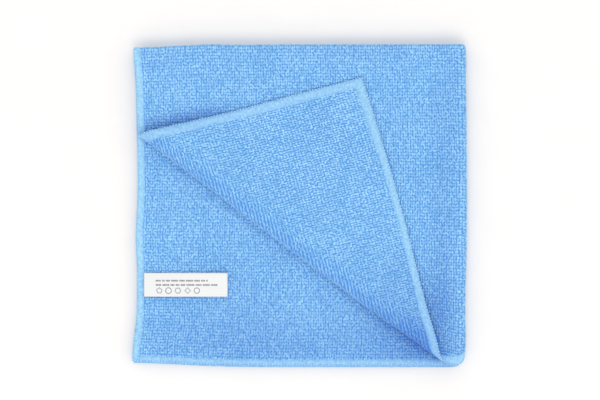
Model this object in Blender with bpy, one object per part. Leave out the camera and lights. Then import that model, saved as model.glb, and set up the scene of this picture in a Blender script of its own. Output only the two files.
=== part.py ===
"""A microfibre cleaning cloth, folded in quarters with one corner turned back, and its care label.

The cloth is cut flat, lower left corner at 0, 0, with v up and w out of its upper face. Every
point of the flat cloth then goes through the folds in the order in which hands make them: the
corner is turned, the top half goes under, and the right half goes under that. The far edges end
up beneath the near ones, so four layers lie a little apart. Sizes are in metres.
"""

import bmesh
import bpy
import numpy as np

MM = 0.001

# The flat cloth.
CUT_WIDTH = 402 * MM
CUT_HEIGHT = 395 * MM
SHEET = 2.0 * MM  # thickness over the pile of both faces
GAP = 0.5 * MM  # air between two layers
PITCH = SHEET + GAP

# The overlocked hem. It is a little thinner than the pile, and its outer edge is rounded.
# Each row is a distance in from the cut edge and the thickness there.
HEM_SECTION = (
    # inwards, thickness
    (0.0 * MM, 1.0 * MM),
    (1.2 * MM, 1.7 * MM),
    (4.6 * MM, 1.7 * MM),
    (6.0 * MM, 2.0 * MM),
)

# The two halving folds. Each is a little fatter than the layers in it, by its bulge, and the
# layers come together again over its spread.
TOP_BULGE = 1.2 * MM
TOP_SPREAD = 24 * MM
RIGHT_BULGE = 1.8 * MM
RIGHT_SPREAD = 30 * MM
TOP_RADIUS = (PITCH + TOP_BULGE) / 2
TOP_START = (CUT_HEIGHT - np.pi * TOP_RADIUS) / 2
RIGHT_RADIUS = (2 * PITCH + RIGHT_BULGE) / 2
RIGHT_START = (CUT_WIDTH - np.pi * RIGHT_RADIUS) / 2

# The crease of the turned corner runs from the left edge down to the bottom edge.
CREASE_ON_LEFT = 146.5 * MM
CREASE_ON_BOTTOM = 195.0 * MM
CREASE_LENGTH = float(np.hypot(CREASE_ON_LEFT, CREASE_ON_BOTTOM))
ALONG = (CREASE_ON_BOTTOM / CREASE_LENGTH, -CREASE_ON_LEFT / CREASE_LENGTH)
ACROSS = (-CREASE_ON_LEFT / CREASE_LENGTH, -CREASE_ON_BOTTOM / CREASE_LENGTH)
CREASE_RADIUS = 2.6 * MM
LEFT_END_RADIUS = 0.4 * MM  # what its upper left end adds to the radius
LEFT_END_REACH = 45 * MM
LOW_END_RADIUS = 0.6 * MM  # what its lower right end adds
LOW_END_REACH = 60 * MM
FLAP_SETTLE = 42 * MM  # the flap comes down onto the layer below over this distance
FLAP_SKEW = 0.045  # slip along the crease for each metre away from it

# The fold's upper left end stands open, which moves the flap's hem up.
OPEN_END = 2.6 * MM
OPEN_REACH = 35 * MM  # along the crease
OPEN_RUN = 60 * MM  # away from it

# The crease stands up from the layers below it near its lower right end.
LOW_END_LIFT = 2.4 * MM
LIFT_PLACE = 0.9  # where along the crease it is highest, as a share of its length
LIFT_REACH = 55 * MM
LIFT_SPREAD = 45 * MM
LIFT_CLEAR = 4 * MM  # it starts to die out this far short of the right fold
LIFT_FADE = 6 * MM

# The crease's lower right end is drawn towards the right and up.
LOW_END_PULL = (2.0 * MM, 1.8 * MM)
PULL_REACH = 50 * MM
PULL_STOP = 184 * MM  # it dies out from here towards the right fold
PULL_FADE = 13 * MM

# How far each layer's own hems fall short of the stack's outline, and how the turned bottom hem
# bows out in the middle.
LAYER_SLIPS = (
    # past the right fold, past the top fold, at the left edge, at the bottom edge
    (0, 0, 0.4 * MM, 1.8 * MM),
    (0, 1, 0.0 * MM, 1.4 * MM),
    (1, 1, 1.0 * MM, 0.0 * MM),
    (1, 0, 0.6 * MM, 0.0 * MM),
)
SLIP_EARLY = 12 * MM  # how far before a fold the slip starts to change
SLIP_RUN = 30 * MM
HEM_BOW = 1.6 * MM

# The outline is not a true square: its left side is drawn in at the middle and its corners flare.
FOLDED_WIDTH = 201.5 * MM
FOLDED_HEIGHT = 197.5 * MM
WAIST = 2.0 * MM
LOW_FLARE = 3.4 * MM
LOW_FLARE_HEIGHT = 30 * MM
TOP_FLARE = 2.6 * MM
TOP_FLARE_HEIGHT = 24 * MM
LEFT_WAVES = (
    # height, reach, width
    (154 * MM, 0.7 * MM, 22 * MM),
    (78 * MM, 1.2 * MM, 18 * MM),
    (26 * MM, -0.5 * MM, 10 * MM),
)
RIGHT_BELLY = 1.2 * MM
RIGHT_WAVES = (
    (168 * MM, 0.5 * MM, 22 * MM),
    (130 * MM, 0.8 * MM, 45 * MM),
    (75 * MM, 0.65 * MM, 38 * MM),
    (14 * MM, 0.9 * MM, 16 * MM),
)
LOW_LEFT_IN = 2.6 * MM  # how far the lower left corner draws up
LOW_LEFT_REACH = 40 * MM
HIGH_LEFT_IN = 3.0 * MM  # how far the upper left corner draws down
HIGH_LEFT_REACH = 45 * MM
TOP_DIP = 1.1 * MM  # how far the rest of the top edge draws down
TOP_DIP_START = 40 * MM
TOP_DIP_RUN = 30 * MM
LOW_RIGHT_CUT = 5.6 * MM  # how far the lower right corner is rounded off
LOW_RIGHT_PLACE = 203.5 * MM
LOW_RIGHT_WIDTH = 4.2 * MM
LOW_RIGHT_HEIGHT = 12 * MM
SIDE_LIMIT = 1.1  # the outline's shares go no further than this past the far sides
RIPPLE = 0.35 * MM  # height of the soft waves over the whole stack
RIPPLE_A = (74, 31, 0.6)  # radians for each metre across and up, and at the corner
RIPPLE_B = (-22, 58, 1.9)
STACK_TOP = SHEET + 3 * PITCH

# The care label lies on the second layer, with its left end caught in the hem.
LABEL_LENGTH = 50.8 * MM
LABEL_WIDTH = 14.5 * MM
LABEL_SOLID = 1.0 * MM  # thickness of the label's solid
LABEL_LEFT = 5.8 * MM
LABEL_LOW = 43.0 * MM
LABEL_CLEARANCE = 0.35 * MM
LABEL_CURL = 1.0 * MM  # how far its upper long edge stands up
LABEL_END_CURL = 0.7 * MM  # how far its free end stands up
LABEL_CURL_FULL = 58 * MM  # how far along the label it would be at its highest

# How finely the flat cloth is divided: wide areas, and each fold's half turn.
CELL = 20 * MM
TOP_TURN_STEPS = 6
RIGHT_TURN_STEPS = 7
CREASE_TURN_STEPS = 7
SPREAD_STEPS = 3  # where the layers come together beside a halving fold
SETTLE_STEPS = 4  # where the flap comes down
LABEL_STEPS = (12, 3)  # along and across the label


def ease(share):
    """1 at or below 0, 0 at or above 1, and level at both ends."""
    return (1 + np.cos(np.pi * np.clip(share, 0, 1))) / 2


def swell(distance, width):
    """A smooth swelling of height 1 around distance 0."""
    return np.exp(-((distance / width) ** 2))


def slip_layers(u, v):
    """Draws each layer's free hems in by its own slip, fading to nothing at the folds."""
    right = 1 - ease((u - RIGHT_START + SLIP_EARLY) / SLIP_RUN)
    top = 1 - ease((v - TOP_START + SLIP_EARLY) / SLIP_RUN)
    inward_u = np.maximum(1 - u / RIGHT_START, 0) - np.maximum(1 - (CUT_WIDTH - u) / RIGHT_START, 0)
    inward_v = np.maximum(1 - v / TOP_START, 0) - np.maximum(1 - (CUT_HEIGHT - v) / TOP_START, 0)
    slip_u = 0
    slip_v = 0
    for past_right, past_top, at_left, at_bottom in LAYER_SLIPS:
        share = (right if past_right else 1 - right) * (top if past_top else 1 - top)
        slip_u = slip_u + at_left * share
        slip_v = slip_v + at_bottom * share
    bow = HEM_BOW * np.sin(np.pi * np.clip(u / CREASE_ON_BOTTOM, 0, 1))
    slip_v = slip_v - bow * (1 - right) * (1 - top)
    return u + slip_u * inward_u, v + slip_v * inward_v


def crease_place(x, y):
    """How far along the crease a point lies, and how far beyond it towards the corner."""
    along = x * ALONG[0] + (y - CREASE_ON_LEFT) * ALONG[1]
    beyond = x * ACROSS[0] + (y - CREASE_ON_LEFT) * ACROSS[1]
    return along, beyond


def crease_radius(along):
    """The crease's radius: it is fatter towards both ends."""
    left_end = LEFT_END_RADIUS * swell(along, LEFT_END_REACH)
    low_end = LOW_END_RADIUS * swell(along - CREASE_LENGTH, LOW_END_REACH)
    return CREASE_RADIUS + left_end + low_end


def turn_corner(x, y, z):
    """Rolls the lower left corner up and over along the crease, and lays it down as a flap."""
    along, beyond = crease_place(x, y)
    radius = crease_radius(along)
    angle = np.clip(beyond / radius, 0, np.pi)
    past = np.maximum(beyond - np.pi * radius, 0)
    flap_height = PITCH + (2 * radius - PITCH) * ease(past / FLAP_SETTLE)
    rolled = radius - (radius - z) * np.cos(angle)
    high = np.where(beyond <= 0, z, np.where(past > 0, flap_height - z, rolled))
    away = np.where(beyond <= 0, beyond, (radius - z) * np.sin(angle) - past)
    turned = (1 - np.cos(angle)) / 2
    open_end = OPEN_END * swell(along, OPEN_REACH) * turned * ease(past / OPEN_RUN)
    along = along + FLAP_SKEW * past
    x = along * ALONG[0] + away * ACROSS[0]
    y = CREASE_ON_LEFT + along * ALONG[1] + away * ACROSS[1] + open_end
    short_of_right_fold = ease((x - RIGHT_START + LIFT_CLEAR) / LIFT_FADE)
    lift = LOW_END_LIFT * swell(along - LIFT_PLACE * CREASE_LENGTH, LIFT_REACH)
    high = high + lift * ease(np.abs(np.minimum(away, 0)) / LIFT_SPREAD) * short_of_right_fold
    pull = swell(along - CREASE_LENGTH, PULL_REACH) * ease(np.abs(away) / PULL_REACH)
    pull = pull * ease((x - PULL_STOP) / PULL_FADE)
    return x + LOW_END_PULL[0] * pull, y + LOW_END_PULL[1] * pull, high


def top_rise(y):
    """How far a pair of layers stands apart, beyond its gap, near the top fold."""
    return TOP_BULGE * ease((TOP_START - y) / TOP_SPREAD)


def fold_top(x, y, z):
    """Folds all that is above the top line down and under.

    Left of the right fold the bulge lifts the upper layer. Beyond it, where the pair will be
    turned over, it lowers the lower layer instead, so that the stack's underside stays flat.
    """
    turned = 1 - ease((x - RIGHT_START) / (np.pi * RIGHT_RADIUS))
    angle = np.clip((y - TOP_START) / TOP_RADIUS, 0, np.pi)
    past = np.maximum(y - TOP_START - np.pi * TOP_RADIUS, 0)
    upper = z + top_rise(np.minimum(y, TOP_START)) * (1 - turned)
    lower = -PITCH - top_rise(TOP_START - past) * turned - z
    centre = (TOP_BULGE * (1 - 2 * turned) - PITCH) / 2
    rolled = centre + (TOP_RADIUS + z) * np.cos(angle)
    before = y <= TOP_START
    reach = np.where(past > 0, TOP_START - past, TOP_START + (TOP_RADIUS + z) * np.sin(angle))
    height = np.where(before, upper, np.where(past > 0, lower, rolled))
    return x, np.where(before, y, reach), height


def fold_right(x, y, z):
    """Folds both layers beyond the right line under the rest, and stands the stack on height 0."""
    radius = (2 * PITCH + RIGHT_BULGE + top_rise(y)) / 2
    angle = np.clip((x - RIGHT_START) / radius, 0, np.pi)
    past = np.maximum(x - RIGHT_START - np.pi * radius, 0)
    out = radius + z + PITCH / 2
    rise = top_rise(y) + RIGHT_BULGE * ease((RIGHT_START - x) / RIGHT_SPREAD)
    upper = z + SHEET / 2 + 3 * PITCH + rise
    rolled = (SHEET + PITCH) / 2 + radius + out * np.cos(angle)
    before = x <= RIGHT_START
    reach = np.where(past > 0, RIGHT_START - past, RIGHT_START + out * np.sin(angle))
    height = np.where(before, upper, np.where(past > 0, SHEET / 2 - z, rolled))
    return np.where(before, x, reach), y, height


def shape_outline(x, y, z):
    """Gives the stack its uneven outline and soft waves. The underside stays flat."""
    left = np.clip(1 - x / FOLDED_WIDTH, 0, 1) ** 2
    right = np.clip(x / FOLDED_WIDTH, 0, SIDE_LIMIT) ** 2
    low = np.clip(1 - y / FOLDED_HEIGHT, 0, 1) ** 2
    high = np.clip(y / FOLDED_HEIGHT, 0, SIDE_LIMIT) ** 2
    waist = WAIST - LOW_FLARE * swell(y, LOW_FLARE_HEIGHT)
    waist = waist - TOP_FLARE * swell(FOLDED_HEIGHT - y, TOP_FLARE_HEIGHT)
    for height, reach, width in LEFT_WAVES:
        waist = waist - reach * swell(y - height, width)
    belly = RIGHT_BELLY * (2 * y / FOLDED_HEIGHT - 1) ** 2
    for height, reach, width in RIGHT_WAVES:
        belly = belly - reach * swell(y - height, width)
    corner_cut = swell(LOW_RIGHT_PLACE - x, LOW_RIGHT_WIDTH) * swell(y, LOW_RIGHT_HEIGHT)
    draw_up = LOW_LEFT_IN * swell(x, LOW_LEFT_REACH) * low + LOW_RIGHT_CUT * corner_cut
    dip = TOP_DIP * (1 - ease((x - TOP_DIP_START) / TOP_DIP_RUN))
    draw_down = (HIGH_LEFT_IN * swell(x, HIGH_LEFT_REACH) + dip) * high
    waves = 1
    for across, up, start in (RIPPLE_A, RIPPLE_B):
        waves = waves * np.sin(across * x + up * y + start)
    z = z + RIPPLE * waves * z / STACK_TOP
    return x + waist * left - belly * right, y + draw_up - draw_down, z


def fold_cloth(u, v, w):
    """Where the flat cloth's point u, v, at height w over its middle plane, ends up."""
    x, y = slip_layers(u, v)
    x, y, z = turn_corner(x, y, w)
    x, y, z = fold_top(x, y, z)
    x, y, z = fold_right(x, y, z)
    return shape_outline(x, y, z)


def lay_label(u, v, w):
    """Where the label's point u, v, w ends up, on top of the second layer."""
    x = LABEL_LEFT + u
    y = LABEL_LOW + v
    rest = SHEET + 2 * PITCH + LABEL_CLEARANCE + LABEL_SOLID / 2
    edge_curl = LABEL_CURL * (v / LABEL_WIDTH) * ease((LABEL_CURL_FULL - u) / LABEL_CURL_FULL)
    end_curl = LABEL_END_CURL * ease((LABEL_LENGTH - u) / LABEL_WIDTH)
    return x, y, shape_outline(x, y, rest + edge_curl + end_curl)[2] + w


def slab(width, height, thickness):
    """A flat slab from 0, 0, with its middle plane at w = 0."""
    bm = bmesh.new()
    bmesh.ops.create_cube(bm, size=1)
    bmesh.ops.translate(bm, verts=bm.verts, vec=(0.5, 0.5, 0))
    bmesh.ops.scale(bm, verts=bm.verts, vec=(width, height, thickness))
    return bm


def cut(bm, point, normal):
    """Cuts the slab's faces along an upright plane, and keeps both sides."""
    parts = bm.verts[:] + bm.edges[:] + bm.faces[:]
    bmesh.ops.bisect_plane(bm, geom=parts, dist=1e-6, plane_co=point, plane_no=normal)


def even(first, last, step):
    """Places between first and last, no more than step apart, without the two ends."""
    count = int(np.ceil((last - first) / step - 1e-6))
    return [first + (last - first) * i / count for i in range(1, count)]


def half_lines(start, spread):
    """Where one half of the cloth is cut, from its hem at 0 to its halving fold at start."""
    hem = [inwards for inwards, thickness in HEM_SECTION[1:]]
    settled = start - spread
    wide = even(hem[-1], settled, CELL)
    near_fold = even(settled, start, spread / SPREAD_STEPS)
    return hem + wide + [settled] + near_fold + [start]


def cloth_lines(size, start, spread, turn_steps):
    """Where the cloth is cut across one of its sides: the same places in from both hems."""
    near = half_lines(start, spread)
    half_turn = size - 2 * start
    turn = even(start, size - start, half_turn / turn_steps)
    return near + turn + [size - place for place in near]


def round_hems(bm):
    """Gives the hem its section, from its distance to the nearest cut edge."""
    inwards, thickness = np.array(HEM_SECTION).T
    for vertex in bm.verts:
        u, v, w = vertex.co
        distance = min(u, CUT_WIDTH - u, v, CUT_HEIGHT - v)
        vertex.co.z = w * np.interp(distance, inwards, thickness) / SHEET


def move(bm, place):
    """Puts every vertex through place, a function of u, v, w."""
    flat = np.array([vertex.co for vertex in bm.verts], float)
    placed = np.stack(place(*flat.T), axis=1)
    for vertex, point in zip(bm.verts, placed):
        vertex.co = point


def material(name, colour, roughness):
    made = bpy.data.materials.new(name)
    made.use_nodes = True
    shader = made.node_tree.nodes["Principled BSDF"]
    shader.inputs["Base Color"].default_value = (*colour, 1)
    shader.inputs["Roughness"].default_value = roughness
    shader.inputs["Metallic"].default_value = 0
    made.diffuse_color = (*colour, 1)
    return made


def finish(bm, name, made_of):
    bmesh.ops.recalc_face_normals(bm, faces=bm.faces)
    mesh = bpy.data.meshes.new(name)
    bm.to_mesh(mesh)
    bm.free()
    mesh.materials.append(made_of)
    mesh.shade_smooth()
    piece = bpy.data.objects.new(name, mesh)
    bpy.context.scene.collection.objects.link(piece)
    return piece


def build_cloth():
    bm = slab(CUT_WIDTH, CUT_HEIGHT, SHEET)
    for u in cloth_lines(CUT_WIDTH, RIGHT_START, RIGHT_SPREAD, RIGHT_TURN_STEPS):
        cut(bm, (u, 0, 0), (1, 0, 0))
    for v in cloth_lines(CUT_HEIGHT, TOP_START, TOP_SPREAD, TOP_TURN_STEPS):
        cut(bm, (0, v, 0), (0, 1, 0))
    half_turn = np.pi * CREASE_RADIUS
    turn = [half_turn * i / CREASE_TURN_STEPS for i in range(CREASE_TURN_STEPS + 1)]
    settling = [half_turn + FLAP_SETTLE * (i + 1) / SETTLE_STEPS for i in range(SETTLE_STEPS)]
    for beyond in [-LIFT_SPREAD / 2] + turn + settling:
        point = (beyond * ACROSS[0], CREASE_ON_LEFT + beyond * ACROSS[1], 0)
        cut(bm, point, (ACROSS[0], ACROSS[1], 0))
    round_hems(bm)
    bmesh.ops.triangulate(bm, faces=bm.faces)
    move(bm, fold_cloth)
    return finish(bm, "cloth", material("blue terry microfibre", (0.23, 0.51, 0.89), 0.95))


def build_label():
    bm = slab(LABEL_LENGTH, LABEL_WIDTH, LABEL_SOLID)
    for u in even(0, LABEL_LENGTH, LABEL_LENGTH / LABEL_STEPS[0]):
        cut(bm, (u, 0, 0), (1, 0, 0))
    for v in even(0, LABEL_WIDTH, LABEL_WIDTH / LABEL_STEPS[1]):
        cut(bm, (0, v, 0), (0, 1, 0))
    bmesh.ops.triangulate(bm, faces=bm.faces)
    move(bm, lay_label)
    return finish(bm, "care_label", material("white satin ribbon", (0.88, 0.88, 0.87), 0.45))


def centre(pieces):
    """Moves the pieces so that the whole object's box is centred over the origin."""
    corners = np.array([vertex.co for piece in pieces for vertex in piece.data.vertices])
    middle = (corners.min(axis=0) + corners.max(axis=0)) / 2
    for piece in pieces:
        for vertex in piece.data.vertices:
            vertex.co.x -= middle[0]
            vertex.co.y -= middle[1]


for old in list(bpy.data.objects):
    bpy.data.objects.remove(old)
centre([build_cloth(), build_label()])
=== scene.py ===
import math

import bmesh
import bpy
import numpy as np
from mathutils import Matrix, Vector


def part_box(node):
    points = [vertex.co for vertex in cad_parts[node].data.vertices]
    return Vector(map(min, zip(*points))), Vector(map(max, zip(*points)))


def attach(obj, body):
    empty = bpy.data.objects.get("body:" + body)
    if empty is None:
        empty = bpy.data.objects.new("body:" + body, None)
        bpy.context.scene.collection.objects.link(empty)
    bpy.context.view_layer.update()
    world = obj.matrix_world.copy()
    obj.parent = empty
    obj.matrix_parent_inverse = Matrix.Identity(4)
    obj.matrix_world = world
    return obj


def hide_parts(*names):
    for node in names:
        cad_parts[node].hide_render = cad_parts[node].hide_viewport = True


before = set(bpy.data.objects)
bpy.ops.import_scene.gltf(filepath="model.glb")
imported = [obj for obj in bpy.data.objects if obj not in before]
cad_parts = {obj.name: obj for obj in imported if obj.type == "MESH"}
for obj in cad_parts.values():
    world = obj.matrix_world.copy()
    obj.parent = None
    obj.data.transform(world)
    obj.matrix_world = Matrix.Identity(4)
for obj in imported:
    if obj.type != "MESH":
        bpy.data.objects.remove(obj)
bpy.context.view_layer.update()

# A blue looped microfibre cloth, folded in quarters, with one corner turned back and a white
# care label. The ground knit, the pile loops, the overlocked hem and its edge chain are all laid
# out on the flat cloth, in u and v from its lower left corner with w out of its upper face, and
# then carried through the same folds as the solid. Sizes are in metres.

MM = 0.001

# The flat cloth.
CUT_WIDTH = 402 * MM
CUT_HEIGHT = 395 * MM
SHEET = 2.0 * MM  # thickness over the pile of both faces
GAP = 0.5 * MM  # air between two layers
PITCH = SHEET + GAP
GROUND_HALF = 0.40 * MM  # half the thickness of the ground knit, without its pile
PILE_PRESS = 0.5 * MM  # how far the flap's own pile and hem sink into the pile below them

# The two halving folds. Each is a little fatter than the layers in it, by its bulge, and the
# layers come together again over its spread.
TOP_BULGE = 1.2 * MM
TOP_SPREAD = 24 * MM
RIGHT_BULGE = 1.8 * MM
RIGHT_SPREAD = 30 * MM
TOP_RADIUS = (PITCH + TOP_BULGE) / 2
TOP_START = (CUT_HEIGHT - np.pi * TOP_RADIUS) / 2
RIGHT_RADIUS = (2 * PITCH + RIGHT_BULGE) / 2
RIGHT_START = (CUT_WIDTH - np.pi * RIGHT_RADIUS) / 2

# The crease of the turned corner runs from the left edge down to the bottom edge.
CREASE_ON_LEFT = 146.5 * MM
CREASE_ON_BOTTOM = 195.0 * MM
CREASE_LENGTH = float(np.hypot(CREASE_ON_LEFT, CREASE_ON_BOTTOM))
ALONG = (CREASE_ON_BOTTOM / CREASE_LENGTH, -CREASE_ON_LEFT / CREASE_LENGTH)
ACROSS = (-CREASE_ON_LEFT / CREASE_LENGTH, -CREASE_ON_BOTTOM / CREASE_LENGTH)
CREASE_RADIUS = 2.6 * MM
LEFT_END_RADIUS = 0.4 * MM  # what its upper left end adds to the radius
LEFT_END_REACH = 45 * MM
LOW_END_RADIUS = 0.6 * MM  # what its lower right end adds
LOW_END_REACH = 60 * MM
FLAP_SETTLE = 42 * MM  # the flap comes down onto the layer below over this distance
FLAP_SKEW = 0.045  # slip along the crease for each metre away from it

# The fold's upper left end stands open, which moves the flap's hem up.
OPEN_END = 2.6 * MM
OPEN_REACH = 35 * MM  # along the crease
OPEN_RUN = 60 * MM  # away from it

# The crease stands up from the layers below it near its lower right end.
LOW_END_LIFT = 2.4 * MM
LIFT_PLACE = 0.9  # where along the crease it is highest, as a share of its length
LIFT_REACH = 55 * MM
LIFT_SPREAD = 45 * MM
LIFT_CLEAR = 4 * MM  # it starts to die out this far short of the right fold
LIFT_FADE = 6 * MM

# The crease's lower right end is drawn towards the right and up.
LOW_END_PULL = (2.0 * MM, 1.8 * MM)
PULL_REACH = 50 * MM
PULL_STOP = 184 * MM  # it dies out from here towards the right fold
PULL_FADE = 13 * MM

# How far each layer's own hems fall short of the stack's outline, and how the turned bottom hem
# bows out in the middle.
LAYER_SLIPS = (
    # past the right fold, past the top fold, at the left edge, at the bottom edge
    (0, 0, 0.4 * MM, 1.8 * MM),
    (0, 1, 0.0 * MM, 1.4 * MM),
    (1, 1, 1.0 * MM, 0.0 * MM),
    (1, 0, 0.6 * MM, 0.0 * MM),
)
SLIP_EARLY = 12 * MM  # how far before a fold the slip starts to change
SLIP_RUN = 30 * MM
HEM_BOW = 1.6 * MM

# The outline is not a true square: its left side is drawn in at the middle and its corners flare.
FOLDED_WIDTH = 201.5 * MM
FOLDED_HEIGHT = 197.5 * MM
WAIST = 2.0 * MM
LOW_FLARE = 3.4 * MM
LOW_FLARE_HEIGHT = 30 * MM
TOP_FLARE = 2.6 * MM
TOP_FLARE_HEIGHT = 24 * MM
LEFT_WAVES = (
    # height, reach, width
    (154 * MM, 0.7 * MM, 22 * MM),
    (78 * MM, 1.2 * MM, 18 * MM),
    (26 * MM, -0.5 * MM, 10 * MM),
)
RIGHT_BELLY = 1.2 * MM
RIGHT_WAVES = (
    (168 * MM, 0.5 * MM, 22 * MM),
    (130 * MM, 0.8 * MM, 45 * MM),
    (75 * MM, 0.65 * MM, 38 * MM),
    (14 * MM, 0.9 * MM, 16 * MM),
)
LOW_LEFT_IN = 2.6 * MM  # how far the lower left corner draws up
LOW_LEFT_REACH = 40 * MM
HIGH_LEFT_IN = 3.0 * MM  # how far the upper left corner draws down
HIGH_LEFT_REACH = 45 * MM
TOP_DIP = 1.1 * MM  # how far the rest of the top edge draws down
TOP_DIP_START = 40 * MM
TOP_DIP_RUN = 30 * MM
LOW_RIGHT_CUT = 5.6 * MM  # how far the lower right corner is rounded off
LOW_RIGHT_PLACE = 203.5 * MM
LOW_RIGHT_WIDTH = 4.2 * MM
LOW_RIGHT_HEIGHT = 12 * MM
SIDE_LIMIT = 1.1  # the outline's shares go no further than this past the far sides
RIPPLE = 0.35 * MM  # height of the soft waves over the whole stack
RIPPLE_A = (74, 31, 0.6)  # radians for each metre across and up, and at the corner
RIPPLE_B = (-22, 58, 1.9)
STACK_TOP = SHEET + 3 * PITCH

# The pile: one loop of yarn to a stitch of the knit.
WALE = 1.46 * MM  # from one column of loops to the next
COURSE = 1.87 * MM  # from one row of loops to the next
LOOP_LENGTH = 1.85 * MM
LOOP_WIDTH = 1.28 * MM
LOOP_THICKNESS = 0.60 * MM
LOOP_HEIGHT = 0.70 * MM  # of the loop's centreline over the cloth's middle plane
LOOP_SIDES = 5
LOOP_SPINE = (
    # place along the loop, share of its height, turn of the yarn from level
    (-0.46, 0.30, 1.1),
    (-0.24, 1.00, 0.35),
    (0.22, 0.96, -0.35),
    (0.46, 0.30, -1.1),
)
PILE_START = 2.5 * MM  # the rows of loops begin this far in, under the hem's inner side

# How one loop differs from the next.
LOOP_LENGTHS = (0.80, 1.12)  # shares of its length, and then of its width and its height
LOOP_WIDTHS = (0.82, 1.15)
LOOP_HEIGHTS = (0.86, 1.04)
LOOP_LEAN = 0.16 * MM  # of its top to one side
LOOP_ASTRAY = (0.13 * MM, 0.16 * MM)  # from its place, in u and in v
LOOP_TURN = 0.45  # radians from its column
PARTED_LOOPS = (0.75, 1.0)  # how far a loop follows the parting of the pile
PARTED_TURN = 0.25  # how much less a parted loop turns
PARTED_WIDTH = 0.22  # how much narrower it is, as a share

# The knit's columns and rows wander from side to side in long waves and in short ones.
COLUMN_WANDER = 0.22 * MM
ROW_WANDER = 0.20 * MM
SHORT_WANDER = 0.15 * MM

# The underside's plainer loops.
UNDERSIDE_WALE = 2.3 * MM
UNDERSIDE_COURSE = 2.9 * MM
UNDERSIDE_LENGTHS = (0.85, 1.05)  # shares of its course, and then of its wale
UNDERSIDE_WIDTHS = (0.80, 1.0)
UNDERSIDE_ASTRAY = 0.2 * MM
UNDERSIDE_TURN = 0.5
UNDERSIDE_RINGS = (
    # place along the loop, share of its width
    (-0.48, 0.5),
    (0.00, 1.0),
    (0.48, 0.5),
)
UNDERSIDE_SECTION = (
    # place across the loop, share of its height
    (-0.5, 0.35),
    (0.0, 0.92),
    (0.5, 0.35),
    (0.0, 0.20),
)

# The pile parts between its rows where the crease bends it.
RIBS_SHORT = 2 * MM  # from this far short of the crease's line
RIBS_FULL = 8 * MM  # to this far beyond it
RIBS_FADE = 15 * MM

# Pile that the turned corner hides is left out.
UNDER_FLAP = 5 * MM  # on the top layer, this far inside the flap's outline
UNDER_CREASE = 6 * MM  # on the second layer, this far under the crease
FLAP_PILE_SHORT = 3 * MM  # on the flap's face, this far short of the crease's line
ROUND_CREASE = 1.5 * CREASE_RADIUS  # on the top layer's face, this far round the crease

# The ground knit's cells, which are closer where it bends.
KNIT_CELL = 3 * MM
RIGHT_BEND_CELL = 0.9 * MM
TOP_BEND_CELL = 0.7 * MM
CREASE_CELL = 1.1 * MM
CREASE_CUT_REACH = 4 * MM  # how near a cell lies to a line of the crease that cuts it

# Painted shade, in soft patches in the stack's own plan: in the gap under the flap's raised top hem, around
# the crease's raised low end and the layers beside it, along the bottom and near the folds; and along the
# roll of the crease.
PAINTED_SHADE_PATCHES = (
    # x, y, reach in x, reach in y, strength
    (172 * MM, 16 * MM, 13 * MM, 14 * MM, 0.21),
    (165 * MM, 25 * MM, 34 * MM, 34 * MM, 0.18),
    (184 * MM, 40 * MM, 9 * MM, 16 * MM, 0.15),
    (187 * MM, 70 * MM, 6.5 * MM, 60 * MM, 0.13),
    (189 * MM, 150 * MM, 8 * MM, 45 * MM, 0.06),
    (95 * MM, 11 * MM, 75 * MM, 16 * MM, 0.13),
    (54 * MM, 26 * MM, 42 * MM, 30 * MM, 0.09),
    (143 * MM, 192 * MM, 45 * MM, 6 * MM, 0.05),
    (15 * MM, 147 * MM, 14 * MM, 3.5 * MM, 0.29),
    (31 * MM, 151 * MM, 14 * MM, 3.5 * MM, 0.38),
    (47 * MM, 155 * MM, 14 * MM, 3.5 * MM, 0.30),
)
HEM_PAINTED_SHADE_SHARE = 0.35  # the hem is smooth, so it takes only this share of the same painted shade
CREASE_PAINTED_SHADE = (0.17, 0.06)  # painted shade on the crease's roll, on the flap's side: at the left end, and what the low end adds
CREASE_SHADE_REACH = 5.5 * MM
VALLEY_PAINTED_SHADOW = (0.05, 0.15)  # painted shadow in the valley on the second layer's side, under the crease's roll
VALLEY_SHADOW_REACH = 3.5 * MM

# The hem: an overlock thread laid over the cut edge, and the chain that locks it there.
HEM_WIDTH = 4.3 * MM
FLAP_HEM_WIDTH = 5.8 * MM  # it was sewn wider up the left side of the turned corner
FAR_HEM_WIDTH = 3.4 * MM  # and narrower along the far side
BOTTOM_HEM_WIDTHS = (
    # place along the bottom side, width there
    (0 * MM, 5.8 * MM),
    (30 * MM, 5.2 * MM),
    (60 * MM, 4.5 * MM),
    (90 * MM, 3.8 * MM),
    (130 * MM, 4.4 * MM),
    (150 * MM, 5.2 * MM),
    (170 * MM, 4.7 * MM),
    (188 * MM, 4.6 * MM),
    (196 * MM, 5.9 * MM),
    (210 * MM, 4.3 * MM),
)
HEM_EDGES_PAINTED_SHADE = 0.14  # painted shade at its two edges, where its rounded section turns down
FLAP_HEM_DARKER = (0.06, 0.10)  # how much darker the hem is on the turned corner's bottom side and on its left side
FAR_HEM_DARKER = 0.10
HEM_CHANGE = 10 * MM  # the hem changes over this distance at the crease
HEM_HALF = 0.85 * MM  # half the thickness of the hem
THREAD_PITCH = 1.2 * MM
THREAD_RELIEF = 0.18 * MM
THREAD_STEPS = 3  # points along the hem to each turn of the thread
THREAD_SLANT = 0.35  # how far the thread leans along the hem, for each step inwards
HEM_UNEVEN = 0.06 * MM
HEM_COVER = (-0.9 * MM, 0.3 * MM)  # how unevenly the pile hides the hem's inner side
HEM_SECTION = (
    # share of its width inwards, share of its half thickness
    (1.10, 0.35),
    (0.92, 0.66),
    (0.70, 0.92),
    (0.45, 1.00),
    (0.22, 0.90),
    (0.08, 0.50),
)
HEM_EDGE = (0.04, 0.0)  # where the section turns over, at the cut edge
CHAIN_PITCH = 1.8 * MM
CHAIN_HALF_WIDTH = 0.45 * MM
CHAIN_HALF_HEIGHT = 0.62 * MM
CHAIN_INSET = 0.25 * MM  # of the chain's middle from the edge
CHAIN_SLANT = 0.35 * MM
CHAIN_SKEW = 0.05  # how unevenly its links lie
CHAIN_LINK = 0.88  # a link's length, as a share of the pitch
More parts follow.
